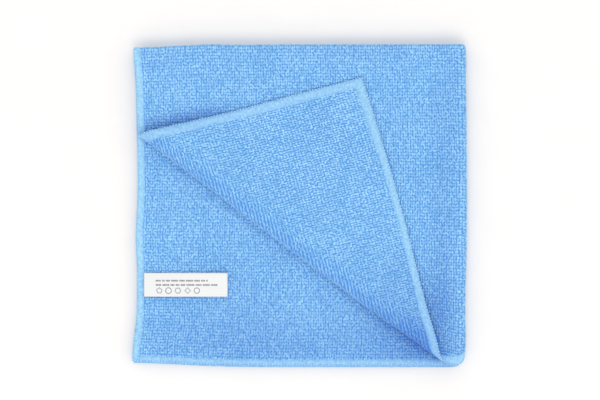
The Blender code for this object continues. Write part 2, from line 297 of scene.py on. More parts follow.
CHAIN_SPINE = (
    # place along the link, share of its thickness
    (-0.50, 0.30),
    (-0.24, 1.00),
    (0.24, 1.00),
    (0.50, 0.30),
)

# The care label lies on the second layer, with its left end caught in the hem.
LABEL_LENGTH = 50.8 * MM
LABEL_WIDTH = 14.5 * MM
LABEL_SOLID = 1.0 * MM  # thickness of the label's solid
LABEL_LEFT = 5.8 * MM
LABEL_LOW = 43.0 * MM
LABEL_CLEARANCE = 0.35 * MM
LABEL_CURL = 1.0 * MM  # how far its upper long edge stands up
LABEL_END_CURL = 0.7 * MM  # how far its free end stands up
LABEL_CURL_FULL = 58 * MM  # how far along the label it would be at its highest
LABEL_RIBBON = 0.30 * MM  # thickness of the ribbon itself
LABEL_CELL = 0.9 * MM
PRINT_HEIGHTS = (LABEL_RIBBON / 2 - 0.05 * MM, LABEL_RIBBON / 2 + 0.03 * MM)
PRINT_ROWS = (
    # height above the label's lower edge, first place, last place
    (9.2 * MM, 7.2 * MM, 38.3 * MM),
    (6.6 * MM, 7.2 * MM, 44.7 * MM),
)
WORD_LENGTHS = (1.4, 4.2)  # in millimetres
DASH_LENGTHS = (0.45, 0.75)
DASH_HEIGHT = 1.05 * MM
DASH_GAP = 0.22 * MM
WORD_GAP = 0.7 * MM
OUTLINE_UP = 3.7 * MM  # of the outlines' middles above the label's lower edge
OUTLINE_RADIUS = 1.95 * MM
OUTLINE_STROKE = 0.42 * MM
OUTLINES = (
    # place along the label, corners, turn
    (9.3 * MM, 5, math.pi / 2),
    (14.9 * MM, 24, 0),
    (20.6 * MM, 6, 0),
    (26.5 * MM, 4, 0),
    (32.1 * MM, 8, math.pi / 8),
)

RIBBON_SCALE = 2200 / math.tau  # sets the ribbon's drawn threads 0.9 mm apart

PAINTED_SHADE_COLOUR = "0C55C6"  # painted shade: the colour that stands in for the shade among the loops' roots, in the crease and under the flap

CAMERA_OVER = (0.15 * MM, 3.65 * MM)  # the point that the camera stands over
VIEW_WIDTH = 366 * MM  # what the frame takes in at the cloth's height

random = np.random.default_rng(21)


# ---------------------------------------------------------------- the folds


def ease(share):
    """1 at or below 0, 0 at or above 1, and level at both ends."""
    return (1 + np.cos(np.pi * np.clip(share, 0, 1))) / 2


def swell(distance, width):
    """A smooth swelling of height 1 around distance 0."""
    return np.exp(-((distance / width) ** 2))


def slip_layers(u, v):
    """Draws each layer's free hems in by its own slip, fading to nothing at the folds."""
    right = 1 - ease((u - RIGHT_START + SLIP_EARLY) / SLIP_RUN)
    top = 1 - ease((v - TOP_START + SLIP_EARLY) / SLIP_RUN)
    inward_u = np.maximum(1 - u / RIGHT_START, 0) - np.maximum(1 - (CUT_WIDTH - u) / RIGHT_START, 0)
    inward_v = np.maximum(1 - v / TOP_START, 0) - np.maximum(1 - (CUT_HEIGHT - v) / TOP_START, 0)
    slip_u = 0
    slip_v = 0
    for past_right, past_top, at_left, at_bottom in LAYER_SLIPS:
        share = (right if past_right else 1 - right) * (top if past_top else 1 - top)
        slip_u = slip_u + at_left * share
        slip_v = slip_v + at_bottom * share
    bow = HEM_BOW * np.sin(np.pi * np.clip(u / CREASE_ON_BOTTOM, 0, 1))
    slip_v = slip_v - bow * (1 - right) * (1 - top)
    return u + slip_u * inward_u, v + slip_v * inward_v


def crease_place(x, y):
    """How far along the crease a point lies, and how far beyond it towards the corner."""
    along = x * ALONG[0] + (y - CREASE_ON_LEFT) * ALONG[1]
    beyond = x * ACROSS[0] + (y - CREASE_ON_LEFT) * ACROSS[1]
    return along, beyond


def crease_radius(along):
    """The crease's radius: it is fatter towards both ends."""
    left_end = LEFT_END_RADIUS * swell(along, LEFT_END_REACH)
    low_end = LOW_END_RADIUS * swell(along - CREASE_LENGTH, LOW_END_REACH)
    return CREASE_RADIUS + left_end + low_end


def turn_corner(x, y, z):
    """Rolls the lower left corner up and over along the crease, and lays it down as a flap."""
    along, beyond = crease_place(x, y)
    radius = crease_radius(along)
    angle = np.clip(beyond / radius, 0, np.pi)
    past = np.maximum(beyond - np.pi * radius, 0)
    settled = PITCH - PILE_PRESS
    flap_height = settled + (2 * radius - settled) * ease(past / FLAP_SETTLE)
    rolled = radius - (radius - z) * np.cos(angle)
    high = np.where(beyond <= 0, z, np.where(past > 0, flap_height - z, rolled))
    away = np.where(beyond <= 0, beyond, (radius - z) * np.sin(angle) - past)
    turned = (1 - np.cos(angle)) / 2
    open_end = OPEN_END * swell(along, OPEN_REACH) * turned * ease(past / OPEN_RUN)
    along = along + FLAP_SKEW * past
    x = along * ALONG[0] + away * ACROSS[0]
    y = CREASE_ON_LEFT + along * ALONG[1] + away * ACROSS[1] + open_end
    short_of_right_fold = ease((x - RIGHT_START + LIFT_CLEAR) / LIFT_FADE)
    lift = LOW_END_LIFT * swell(along - LIFT_PLACE * CREASE_LENGTH, LIFT_REACH)
    high = high + lift * ease(np.abs(np.minimum(away, 0)) / LIFT_SPREAD) * short_of_right_fold
    pull = swell(along - CREASE_LENGTH, PULL_REACH) * ease(np.abs(away) / PULL_REACH)
    pull = pull * ease((x - PULL_STOP) / PULL_FADE)
    return x + LOW_END_PULL[0] * pull, y + LOW_END_PULL[1] * pull, high


def top_rise(y):
    """How far a pair of layers stands apart, beyond its gap, near the top fold."""
    return TOP_BULGE * ease((TOP_START - y) / TOP_SPREAD)


def fold_top(x, y, z):
    """Folds all that is above the top line down and under.

    Left of the right fold the bulge lifts the upper layer. Beyond it, where the pair will be
    turned over, it lowers the lower layer instead, so that the stack's underside stays flat.
    """
    turned = 1 - ease((x - RIGHT_START) / (np.pi * RIGHT_RADIUS))
    angle = np.clip((y - TOP_START) / TOP_RADIUS, 0, np.pi)
    past = np.maximum(y - TOP_START - np.pi * TOP_RADIUS, 0)
    upper = z + top_rise(np.minimum(y, TOP_START)) * (1 - turned)
    lower = -PITCH - top_rise(TOP_START - past) * turned - z
    centre = (TOP_BULGE * (1 - 2 * turned) - PITCH) / 2
    rolled = centre + (TOP_RADIUS + z) * np.cos(angle)
    before = y <= TOP_START
    reach = np.where(past > 0, TOP_START - past, TOP_START + (TOP_RADIUS + z) * np.sin(angle))
    height = np.where(before, upper, np.where(past > 0, lower, rolled))
    return x, np.where(before, y, reach), height


def fold_right(x, y, z):
    """Folds both layers beyond the right line under the rest, and stands the stack on height 0."""
    radius = (2 * PITCH + RIGHT_BULGE + top_rise(y)) / 2
    angle = np.clip((x - RIGHT_START) / radius, 0, np.pi)
    past = np.maximum(x - RIGHT_START - np.pi * radius, 0)
    out = radius + z + PITCH / 2
    rise = top_rise(y) + RIGHT_BULGE * ease((RIGHT_START - x) / RIGHT_SPREAD)
    upper = z + SHEET / 2 + 3 * PITCH + rise
    rolled = (SHEET + PITCH) / 2 + radius + out * np.cos(angle)
    before = x <= RIGHT_START
    reach = np.where(past > 0, RIGHT_START - past, RIGHT_START + out * np.sin(angle))
    height = np.where(before, upper, np.where(past > 0, SHEET / 2 - z, rolled))
    return np.where(before, x, reach), y, height


def shape_outline(x, y, z):
    """Gives the stack its uneven outline and soft waves. The underside stays flat."""
    left = np.clip(1 - x / FOLDED_WIDTH, 0, 1) ** 2
    right = np.clip(x / FOLDED_WIDTH, 0, SIDE_LIMIT) ** 2
    low = np.clip(1 - y / FOLDED_HEIGHT, 0, 1) ** 2
    high = np.clip(y / FOLDED_HEIGHT, 0, SIDE_LIMIT) ** 2
    waist = WAIST - LOW_FLARE * swell(y, LOW_FLARE_HEIGHT)
    waist = waist - TOP_FLARE * swell(FOLDED_HEIGHT - y, TOP_FLARE_HEIGHT)
    for height, reach, width in LEFT_WAVES:
        waist = waist - reach * swell(y - height, width)
    belly = RIGHT_BELLY * (2 * y / FOLDED_HEIGHT - 1) ** 2
    for height, reach, width in RIGHT_WAVES:
        belly = belly - reach * swell(y - height, width)
    corner_cut = swell(LOW_RIGHT_PLACE - x, LOW_RIGHT_WIDTH) * swell(y, LOW_RIGHT_HEIGHT)
    draw_up = LOW_LEFT_IN * swell(x, LOW_LEFT_REACH) * low + LOW_RIGHT_CUT * corner_cut
    dip = TOP_DIP * (1 - ease((x - TOP_DIP_START) / TOP_DIP_RUN))
    draw_down = (HIGH_LEFT_IN * swell(x, HIGH_LEFT_REACH) + dip) * high
    waves = 1
    for across, up, start in (RIPPLE_A, RIPPLE_B):
        waves = waves * np.sin(across * x + up * y + start)
    z = z + RIPPLE * waves * z / STACK_TOP
    return x + waist * left - belly * right, y + draw_up - draw_down, z


def fold_cloth(u, v, w):
    """Where the flat cloth's point u, v, at height w over its middle plane, ends up."""
    x, y = slip_layers(u, v)
    x, y, z = turn_corner(x, y, w)
    x, y, z = fold_top(x, y, z)
    x, y, z = fold_right(x, y, z)
    return shape_outline(x, y, z)


def lay_label(u, v, w):
    """Where the label's point u, v, w ends up, on top of the second layer."""
    x = LABEL_LEFT + u
    y = LABEL_LOW + v
    rest = SHEET + 2 * PITCH + LABEL_CLEARANCE + LABEL_SOLID / 2
    edge_curl = LABEL_CURL * (v / LABEL_WIDTH) * ease((LABEL_CURL_FULL - u) / LABEL_CURL_FULL)
    end_curl = LABEL_END_CURL * ease((LABEL_LENGTH - u) / LABEL_WIDTH)
    return x, y, shape_outline(x, y, rest + edge_curl + end_curl)[2] + w


def stack_origin():
    """Where the stack's own corner lies in the frame, from the box of the cloth's solid."""
    u, v = np.meshgrid(np.linspace(0, CUT_WIDTH, 240), np.linspace(0, CUT_HEIGHT, 240))
    both = [np.stack(fold_cloth(u, v, np.full_like(u, w))) for w in (-SHEET / 2, SHEET / 2)]
    own = np.stack(both).transpose(1, 0, 2, 3).reshape(3, -1)
    low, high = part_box("cloth")
    middle = (own.min(axis=1) + own.max(axis=1)) / 2
    return (low.x + high.x) / 2 - middle[0], (low.y + high.y) / 2 - middle[1]


ORIGIN = stack_origin()


# ---------------------------------------------------------------- meshes


def painted_shade_at(x, y):
    """How much painted shade lies at x, y in the stack's own plan, from 0 to 1."""
    darker = 0
    for at_x, at_y, reach_x, reach_y, strength in PAINTED_SHADE_PATCHES:
        darker = darker + strength * swell(x - at_x, reach_x) * swell(y - at_y, reach_y)
    along, beyond = crease_place(x, y)
    share = np.clip(along / CREASE_LENGTH, 0, 1)
    outside = beyond - CREASE_RADIUS
    roll = (CREASE_PAINTED_SHADE[0] + CREASE_PAINTED_SHADE[1] * share**2) * swell(outside, CREASE_SHADE_REACH)
    valley = (VALLEY_PAINTED_SHADOW[0] + VALLEY_PAINTED_SHADOW[1] * share**3) * swell(outside, VALLEY_SHADOW_REACH)
    return np.clip(darker + np.where(outside < 0, roll, valley), 0, 1)


def piece_from(name, flat_points, faces, place, finish, shade_share=1, own_darkening=0, smooth=True):
    """A piece whose points, laid out flat, are carried to where place puts them.

    shade_share is how much it takes of the pile's painted shade, and own_darkening is what it adds.
    """
    x, y, z = place(*np.asarray(flat_points, float).T)
    points = np.stack((x + ORIGIN[0], y + ORIGIN[1], z), axis=1)
    mesh = bpy.data.meshes.new(name)
    mesh.from_pydata(points.tolist(), [], faces)
    mesh.materials.append(finish)
    deepness = mesh.attributes.new("deepness", "FLOAT", "POINT")
    deepness.data.foreach_set("value", np.clip(shade_share * painted_shade_at(x, y) + own_darkening, 0, 1))
    if smooth:
        mesh.shade_smooth()
    piece = bpy.data.objects.new(name, mesh)
    bpy.context.scene.collection.objects.link(piece)
    return piece


def repeat_shape(shape_points, shape_faces):
    """Joins copies of one shape into one set of points and faces.

    shape_points holds each copy's points, copies by points by 3.
    """
    copies, count, _ = shape_points.shape
    starts = np.arange(copies)[:, None, None] * count
    faces = (np.asarray(shape_faces)[None] + starts).reshape(-1, len(shape_faces[0]))
    return shape_points.reshape(-1, 3), faces


def outwards(piece):
    """Turns a closed piece's faces so that they point out."""
    bm = bmesh.new()
    bm.from_mesh(piece.data)
    bmesh.ops.recalc_face_normals(bm, faces=bm.faces)
    bm.to_mesh(piece.data)
    bm.free()
    return piece


def spaced(first, last, step):
    """Even places from first to last, no more than step apart."""
    return np.linspace(first, last, int(math.ceil((last - first) / step)) + 1)


# ---------------------------------------------------------------- materials


def linear(hex_colour):
    """An sRGB hex colour such as "7FB4EA", as linear red, green, blue and alpha."""
    channels = [int(hex_colour[i : i + 2], 16) / 255 for i in (0, 2, 4)]
    return tuple(c / 12.92 if c <= 0.04045 else ((c + 0.055) / 1.055) ** 2.4 for c in channels) + (1,)


def add_node(tree, kind, inputs, **settings):
    """Adds a node. inputs maps a socket to its value, or to the (node, output) that feeds it."""
    made = tree.nodes.new(kind)
    for name, value in settings.items():
        setattr(made, name, value)
    for socket, value in inputs.items():
        if isinstance(value, tuple) and isinstance(value[0], bpy.types.Node):
            tree.links.new(value[0].outputs[value[1]], made.inputs[socket])
        else:
            made.inputs[socket].default_value = value
    return made


def new_material(name):
    made = bpy.data.materials.new(name)
    made.use_nodes = True
    made.node_tree.nodes.clear()
    return made, made.node_tree


def colour_ramp(tree, fac, stops):
    """A ramp through (place, hex colour) stops, fed by the (node, output) fac."""
    ramp = add_node(tree, "ShaderNodeValToRGB", {"Fac": fac})
    elements = ramp.color_ramp.elements
    while len(elements) < len(stops):
        elements.new(0.5)
    for element, (place, colour) in zip(elements, stops):
        element.position = place
        element.color = linear(colour)
    return ramp


def with_painted_shade(tree, colour):
    """The colour of a finish, taken towards the colour of painted shade where the deepness attribute is
    high.
    """
    deepness = add_node(tree, "ShaderNodeAttribute", {}, attribute_name="deepness")
    return add_node(
        tree,
        "ShaderNodeMixRGB",
        {"Fac": (deepness, "Fac"), "Color1": colour, "Color2": linear(PAINTED_SHADE_COLOUR)},
    )


def split_microfibre(name, dark, middle, light, sheen):
    """Looped split polyester and polyamide microfibre, dyed in the piece.

    The filaments are finer than a hair, so the yarn has no gloss of its own: it is matt, with a soft bright
    edge where the fibre ends stand against the light. Each loop takes the dye a little differently, and the
    whole cloth is a little paler and deeper in patches. On top of that, painted shade from the deepness
    attribute darkens it in shaded patches and along the crease.
    """
    made, tree = new_material(name)
    place = add_node(tree, "ShaderNodeTexCoord", {})
    patches = add_node(tree, "ShaderNodeTexNoise", {"Vector": (place, "Object"), "Scale": 55, "Detail": 3})
    island = add_node(tree, "ShaderNodeNewGeometry", {})
    # The tufts of split filament are finer than can show, so they are drawn 0.8 mm across.
    tufts = add_node(tree, "ShaderNodeTexNoise", {"Vector": (place, "Object"), "Scale": 1250, "Detail": 1})
    dye = add_node(
        tree,
        "ShaderNodeMath",
        {0: (island, "Random Per Island"), 1: 0.35},
        operation="MULTIPLY",
    )
    dye_and_tufts = add_node(
        tree,
        "ShaderNodeMath",
        {0: (tufts, "Fac"), 1: 0.60, 2: (dye, 0)},
        operation="MULTIPLY_ADD",
    )
    tone = add_node(
        tree,
        "ShaderNodeMath",
        {0: (patches, "Fac"), 1: 0.25, 2: (dye_and_tufts, 0)},
        operation="MULTIPLY_ADD",
    )
    ramp = colour_ramp(tree, (tone, 0), ((0.3, dark), (0.6, middle), (0.9, light)))
    # Painted shade: the colour is taken towards the painted shade colour where the deepness attribute is
    # high.
    colour = with_painted_shade(tree, (ramp, "Color"))
    fibres = add_node(tree, "ShaderNodeTexNoise", {"Vector": (place, "Object"), "Scale": 5200, "Detail": 2})
    relief = {"Height": (fibres, "Fac"), "Strength": 0.5, "Distance": 0.12 * MM}
    fuzz = add_node(tree, "ShaderNodeBump", relief)
    shader = add_node(
        tree,
        "ShaderNodeBsdfPrincipled",
        {
            "Base Color": (colour, "Color"),
            "Normal": (fuzz, "Normal"),
            "Roughness": 0.92,
            "IOR": 1.5,
            "Specular IOR Level": 0.2,
            "Sheen Weight": sheen,
            "Sheen Roughness": 0.35,
            "Sheen Tint": linear("C8E2FF"),
        },
    )
    add_node(tree, "ShaderNodeOutputMaterial", {"Surface": (shader, "BSDF")})
    return made


def overlock_thread(name, darker, pale):
    """Textured polyester overlock thread, dyed to match, wound side by side over the edge.

    Its filaments lie straight and close, so the hem is smoother and paler than the pile.
    """
    made, tree = new_material(name)
    place = add_node(tree, "ShaderNodeTexCoord", {})
    wear = add_node(tree, "ShaderNodeTexNoise", {"Vector": (place, "Object"), "Scale": 620, "Detail": 4})
    ramp = colour_ramp(tree, (wear, "Fac"), ((0.35, darker), (0.65, pale)))
    # Painted shade: the hem takes the same painted shade as the pile, with its own at its edges.
    colour = with_painted_shade(tree, (ramp, "Color"))
    fibres = add_node(tree, "ShaderNodeTexNoise", {"Vector": (place, "Object"), "Scale": 3800, "Detail": 2})
    relief = {"Height": (fibres, "Fac"), "Strength": 0.35, "Distance": 0.1 * MM}
    strands = add_node(tree, "ShaderNodeBump", relief)
    shader = add_node(
        tree,
        "ShaderNodeBsdfPrincipled",
        {
            "Base Color": (colour, "Color"),
            "Normal": (strands, "Normal"),
            "Roughness": 0.62,
            "IOR": 1.5,
            "Specular IOR Level": 0.35,
            "Sheen Weight": 0.25,
            "Sheen Roughness": 0.4,
            "Sheen Tint": linear("E4F6FF"),
        },
    )
    add_node(tree, "ShaderNodeOutputMaterial", {"Surface": (shader, "BSDF")})
    return made


def satin_ribbon():
    """White polyester satin ribbon: long floats side by side, so it is smooth with a soft gloss."""
    made, tree = new_material("white polyester satin ribbon")
    place = add_node(tree, "ShaderNodeTexCoord", {})
    # The real threads are 0.1 mm apart, too fine to show, so they are drawn 0.9 mm apart.
    floats = add_node(
        tree,
        "ShaderNodeTexWave",
        {"Vector": (place, "Object"), "Scale": RIBBON_SCALE, "Distortion": 0.6, "Detail": 1},
        bands_direction="Y",
    )
    colour = colour_ramp(tree, (floats, "Fac"), ((0.2, "E0E1E1"), (0.8, "E6E7E7")))
    relief = {"Height": (floats, "Fac"), "Strength": 0.15, "Distance": 0.05 * MM}
    weave = add_node(tree, "ShaderNodeBump", relief)
    shader = add_node(
        tree,
        "ShaderNodeBsdfPrincipled",
        {
            "Base Color": (colour, "Color"),
            "Normal": (weave, "Normal"),
            "Roughness": 0.42,
            "IOR": 1.5,
            "Specular IOR Level": 0.4,
            "Anisotropic": 0.4,
            "Sheen Weight": 0.1,
        },
    )
    add_node(tree, "ShaderNodeOutputMaterial", {"Surface": (shader, "BSDF")})
    return made


def printing_ink():
    """Grey-black ribbon ink, printed thin, so it is matt and a little uneven."""
    made, tree = new_material("thin grey printing ink")
    place = add_node(tree, "ShaderNodeTexCoord", {})
    cover = add_node(tree, "ShaderNodeTexNoise", {"Vector": (place, "Object"), "Scale": 1500, "Detail": 2})
    colour = colour_ramp(tree, (cover, "Fac"), ((0.3, "6A676C"), (0.7, "858288")))
    shader = add_node(
        tree,
        "ShaderNodeBsdfPrincipled",
        {"Base Color": (colour, "Color"), "Roughness": 0.7, "IOR": 1.5},
    )
    add_node(tree, "ShaderNodeOutputMaterial", {"Surface": (shader, "BSDF")})
    return made


def studio_paper():
    """The white paper sweep that the cloth lies on."""
    made, tree = new_material("matt white studio paper")
    place = add_node(tree, "ShaderNodeTexCoord", {})
    grain = add_node(tree, "ShaderNodeTexNoise", {"Vector": (place, "Object"), "Scale": 40, "Detail": 2})
    colour = colour_ramp(tree, (grain, "Fac"), ((0.3, "F3F0EE"), (0.7, "F5F2F0")))
    shader = add_node(
        tree,
        "ShaderNodeBsdfPrincipled",
        {"Base Color": (colour, "Color"), "Roughness": 0.9, "Specular IOR Level": 0.0},
    )
    add_node(tree, "ShaderNodeOutputMaterial", {"Surface": (shader, "BSDF")})
    return made


# ---------------------------------------------------------------- the cloth's pieces


def flat_sheet(name, bm, half, place, finish):
    """A closed sheet, 2 half thick, on the folds, from its flat mesh."""
    bmesh.ops.triangulate(bm, faces=bm.faces)
    bm.verts.index_update()
    upper = np.array([vertex.co for vertex in bm.verts], float)
    faces = np.array([[vertex.index for vertex in face.verts] for face in bm.faces])
    rim = [[vertex.index for vertex in edge.verts] for edge in bm.edges if edge.is_boundary]
    bm.free()
    count = len(upper)
    under = upper.copy()
    upper[:, 2], under[:, 2] = half, -half
    sides = [(a, b, b + count, a + count) for a, b in rim]
    faces = faces.tolist() + (faces[:, ::-1] + count).tolist() + sides
    return outwards(piece_from(name, np.concatenate((upper, under)), faces, place, finish))


def flat_grid(u_lines, v_lines):
    bm = bmesh.new()
    grid = [[bm.verts.new((u, v, 0)) for u in u_lines] for v in v_lines]
    for low, high in zip(grid, grid[1:]):
        for i in range(len(low) - 1):
            bm.faces.new((low[i], low[i + 1], high[i + 1], high[i]))
    return bm


def ground_knit(finish):
    """The knit that carries the pile, with close lines of points where it bends."""
    near_u = spaced(0, RIGHT_START, KNIT_CELL)
    near_v = spaced(0, TOP_START, KNIT_CELL)
    bend_u = spaced(RIGHT_START, CUT_WIDTH - RIGHT_START, RIGHT_BEND_CELL)[1:-1]
    bend_v = spaced(TOP_START, CUT_HEIGHT - TOP_START, TOP_BEND_CELL)[1:-1]
    bm = flat_grid(
        np.concatenate((near_u, bend_u, CUT_WIDTH - near_u[::-1])),
        np.concatenate((near_v, bend_v, CUT_HEIGHT - near_v[::-1])),
    )
    turn = math.pi * (CREASE_RADIUS + LOW_END_RADIUS)
    across = Vector((*ACROSS, 0))
    for beyond in spaced(0, turn, CREASE_CELL):
        point = Vector((0, CREASE_ON_LEFT, 0)) + across * beyond
        parts = set()
        for face in bm.faces:
            if abs((face.calc_center_median() - point).dot(across)) < CREASE_CUT_REACH:
                parts.update((face, *face.edges, *face.verts))
        bmesh.ops.bisect_plane(bm, geom=list(parts), dist=1e-7, plane_co=point, plane_no=across)
    return flat_sheet("cloth_ground", bm, GROUND_HALF, fold_cloth, finish)


def loop_shape():
    """The faces of one pile loop: an arch of yarn, closed at its two buried ends."""
    faces = []
    stretches = len(LOOP_SPINE) - 1
    for ring in range(stretches):
        for side in range(LOOP_SIDES):
            after = (side + 1) % LOOP_SIDES
            a, b = ring * LOOP_SIDES + side, ring * LOOP_SIDES + after
            faces.append((a, b, b + LOOP_SIDES))
            faces.append((a, b + LOOP_SIDES, a + LOOP_SIDES))
    last = stretches * LOOP_SIDES
    for side in range(1, LOOP_SIDES - 1):
        faces.append((0, side + 1, side))
        faces.append((last, last + side, last + side + 1))
    return faces


def ribs(u, v):
    """How far the pile has parted between its rows: 1 over the crease, 0 away from it."""
    _, beyond = crease_place(u, v)
    return np.where(beyond > -RIBS_SHORT, ease((beyond - RIBS_FULL) / RIBS_FADE), 0)


def loop_points(u, v, face):
    """The points of a pile loop at each u, v, on the cloth's upper face (1) or under face (-1)."""
    count = len(u)
    opened = ribs(u, v)
    parted = opened * random.uniform(*PARTED_LOOPS, count)
    # Most loops lie along their column, but those on the crease lie along their row.
    lie = np.where(random.uniform(0, 1, count) < opened, 0, math.pi / 2)
    lie = lie + random.normal(0, 1, count) * (LOOP_TURN - PARTED_TURN * parted)
    long = LOOP_LENGTH * random.uniform(*LOOP_LENGTHS, count)
    wide = LOOP_WIDTH * random.uniform(*LOOP_WIDTHS, count) * (1 - PARTED_WIDTH * parted)
    high = LOOP_HEIGHT * random.uniform(*LOOP_HEIGHTS, count)
    lean = random.normal(0, LOOP_LEAN, count)
    u = u + random.normal(0, LOOP_ASTRAY[0], count)
    v = v + random.normal(0, LOOP_ASTRAY[1], count)
    points = np.empty((count, len(LOOP_SPINE) * LOOP_SIDES, 3))
    for ring, (place, share, turn) in enumerate(LOOP_SPINE):
        for side in range(LOOP_SIDES):
            around = math.tau * (side + 0.5) / LOOP_SIDES
            across = wide / 2 * math.cos(around) + lean * share
            out = LOOP_THICKNESS / 2 * math.sin(around)
            along = place * long - out * math.sin(turn)
            height = high * share + out * math.cos(turn)
            i = ring * LOOP_SIDES + side
            points[:, i, 0] = u + along * np.cos(lie) - across * np.sin(lie)
            points[:, i, 1] = v + along * np.sin(lie) + across * np.cos(lie)
            points[:, i, 2] = face * height
    return points


def stitches(low_u, high_u, low_v, high_v):
    """The places of the knit's stitches in a rectangle of the flat cloth, in slightly uneven rows."""
    u, v = np.meshgrid(np.arange(low_u, high_u, WALE), np.arange(low_v, high_v, COURSE))
    # The whole numbers are the waves' radians for each metre.
    aside = COLUMN_WANDER * np.sin(v * 71 + 1.3 * np.sin(u * 23)) + SHORT_WANDER * np.sin(u * 160 + v * 37)
    along = ROW_WANDER * np.sin(u * 83 + 1.1 * np.sin(v * 19)) + SHORT_WANDER * np.sin(v * 140 - u * 31)
    return (u + aside).ravel(), (v + along).ravel()


def hem_by_place(u, v, plain, on_flap, far):
    """What the hem has at u, v: the plain amount, or the turned corner's or the far side's own."""
    _, beyond = crease_place(u, v)
    turned = 1 - ease((beyond + HEM_CHANGE / 4) / HEM_CHANGE)
    amount = np.where(CUT_HEIGHT - v < np.minimum(u, CUT_WIDTH - u), far, plain)
    return amount + (on_flap - amount) * turned


def hem_width(u, v):
    on_bottom = v < np.minimum(u, CUT_WIDTH - u)
    bottom = np.interp(u, *zip(*BOTTOM_HEM_WIDTHS))
    return np.where(on_bottom, bottom, hem_by_place(u, v, HEM_WIDTH, FLAP_HEM_WIDTH, FAR_HEM_WIDTH))


def clear_of_hems(u, v):
    """Which stitches the hem leaves showing. Its inner side is hidden unevenly by the pile."""
    inwards = np.minimum(np.minimum(u, CUT_WIDTH - u), np.minimum(v, CUT_HEIGHT - v))
    return inwards > hem_width(u, v) + random.uniform(*HEM_COVER, len(u))


def flap_outline():
    """The turned flap's three corners, in the stack's own plan."""
    corners = ((0, CREASE_ON_LEFT), (CREASE_ON_BOTTOM, 0), (0, 0))
    placed = [fold_cloth(np.array([u]), np.array([v]), np.array([0.0])) for u, v in corners]
    return np.array([(x[0], y[0]) for x, y, z in placed])


def under_flap(u, v, w, margin):
    """Which points of the cloth lie under the flap, further in than margin from its sides."""
    x, y, _ = fold_cloth(u, v, np.full_like(u, w))
    corners = flap_outline()
    centre = corners.mean(axis=0)
    inside = np.ones(len(u), bool)
    for a, b in zip(corners, np.roll(corners, -1, axis=0)):
        normal = np.array((b[1] - a[1], a[0] - b[0])) / np.hypot(*(b - a))
        if normal @ (centre - a) < 0:
            normal = -normal
        inside &= (x - a[0]) * normal[0] + (y - a[1]) * normal[1] > margin
    return inside


def pile(name, u, v, face, finish):
    points, faces = repeat_shape(loop_points(u, v, face), loop_shape())
    if face < 0:
        faces = faces[:, ::-1]
    return piece_from(name, points, faces.tolist(), fold_cloth, finish)


def top_layer_pile(finish):
    """The upper face's pile on the top layer, where the flap leaves it showing."""
    u, v = stitches(PILE_START, RIGHT_START, PILE_START, TOP_START)
    _, beyond = crease_place(u, v)
    hidden = under_flap(u, v, SHEET / 2, UNDER_FLAP)
    shown = clear_of_hems(u, v) & (beyond < ROUND_CREASE) & ~hidden
    return pile("pile_top_layer", u[shown], v[shown], 1, finish)


def fold_pile(finish):
    """The upper face's pile round the outside of both halving folds."""
    past_right = CUT_WIDTH - RIGHT_START
    past_top = CUT_HEIGHT - TOP_START
    u, v = stitches(PILE_START, CUT_WIDTH - PILE_START, PILE_START, CUT_HEIGHT - PILE_START)
    round_top = (v > TOP_START) & (v < past_top) & (u < past_right)
    round_right = (u > RIGHT_START) & (u < past_right) & (v < past_top)
    behind = (u > past_right) & (v > TOP_START) & (v < past_top)
    shown = clear_of_hems(u, v) & (round_top | round_right | behind)
    return pile("pile_round_folds", u[shown], v[shown], 1, finish)


def underside_pile(finish):
    """The upper face's pile on the bottom layer, which the cloth stands on.

    Nothing but the table touches it, so its loops are drawn wider apart, and plainer.
    """
    past_right = CUT_WIDTH - RIGHT_START
    u, v = np.meshgrid(
        np.arange(past_right, CUT_WIDTH - HEM_WIDTH, UNDERSIDE_WALE),
        np.arange(HEM_WIDTH, TOP_START, UNDERSIDE_COURSE),
    )
    u, v = u.ravel(), v.ravel()
    count = len(u)
    u = u + random.normal(0, UNDERSIDE_ASTRAY, count)
    v = v + random.normal(0, UNDERSIDE_ASTRAY, count)
    lie = random.normal(math.pi / 2, UNDERSIDE_TURN, count)
    long = UNDERSIDE_COURSE * random.uniform(*UNDERSIDE_LENGTHS, count)
    wide = UNDERSIDE_WALE * random.uniform(*UNDERSIDE_WIDTHS, count)
    corners = len(UNDERSIDE_SECTION)
    points = np.empty((count, len(UNDERSIDE_RINGS) * corners, 3))
    for ring, (place, share) in enumerate(UNDERSIDE_RINGS):
        for corner, (across, height) in enumerate(UNDERSIDE_SECTION):
            i = ring * corners + corner
            along, aside = place * long, across * wide * share
            points[:, i, 0] = u + along * np.cos(lie) - aside * np.sin(lie)
            points[:, i, 1] = v + along * np.sin(lie) + aside * np.cos(lie)
            points[:, i, 2] = (0.5 + 0.5 * share) * height * SHEET / 2
    faces = []
    last = (len(UNDERSIDE_RINGS) - 1) * corners
    for ring in range(0, last, corners):
        for corner in range(corners):
            a = ring + corner
            b = ring + (corner + 1) % corners
            faces.append((a, b, b + corners, a + corners))
    faces.append((3, 2, 1, 0))
    faces.append((last, last + 1, last + 2, last + 3))
    points, faces = repeat_shape(points, faces)
    return outwards(piece_from("pile_underside", points, faces.tolist(), fold_cloth, finish))


def flap_pile(finish):
    """The under face's pile where the turned corner shows it, crease and all."""
    u, v = stitches(PILE_START, CREASE_ON_BOTTOM, PILE_START, CREASE_ON_LEFT)
    _, beyond = crease_place(u, v)
    shown = clear_of_hems(u, v) & (beyond > -FLAP_PILE_SHORT)
    return pile("pile_flap", u[shown], v[shown], -1, finish)


def second_layer_pile(finish):
    """The under face's pile on the second layer, below the crease."""
    past_top = CUT_HEIGHT - TOP_START
    u, v = stitches(PILE_START, RIGHT_START, past_top, CUT_HEIGHT - PILE_START)
    x, y, _ = fold_cloth(u, v, np.full_like(u, -SHEET / 2))
    _, beyond = crease_place(x, y)
    shown = clear_of_hems(u, v) & (beyond > -UNDER_CREASE)
    return pile("pile_second_layer", u[shown], v[shown], -1, finish)


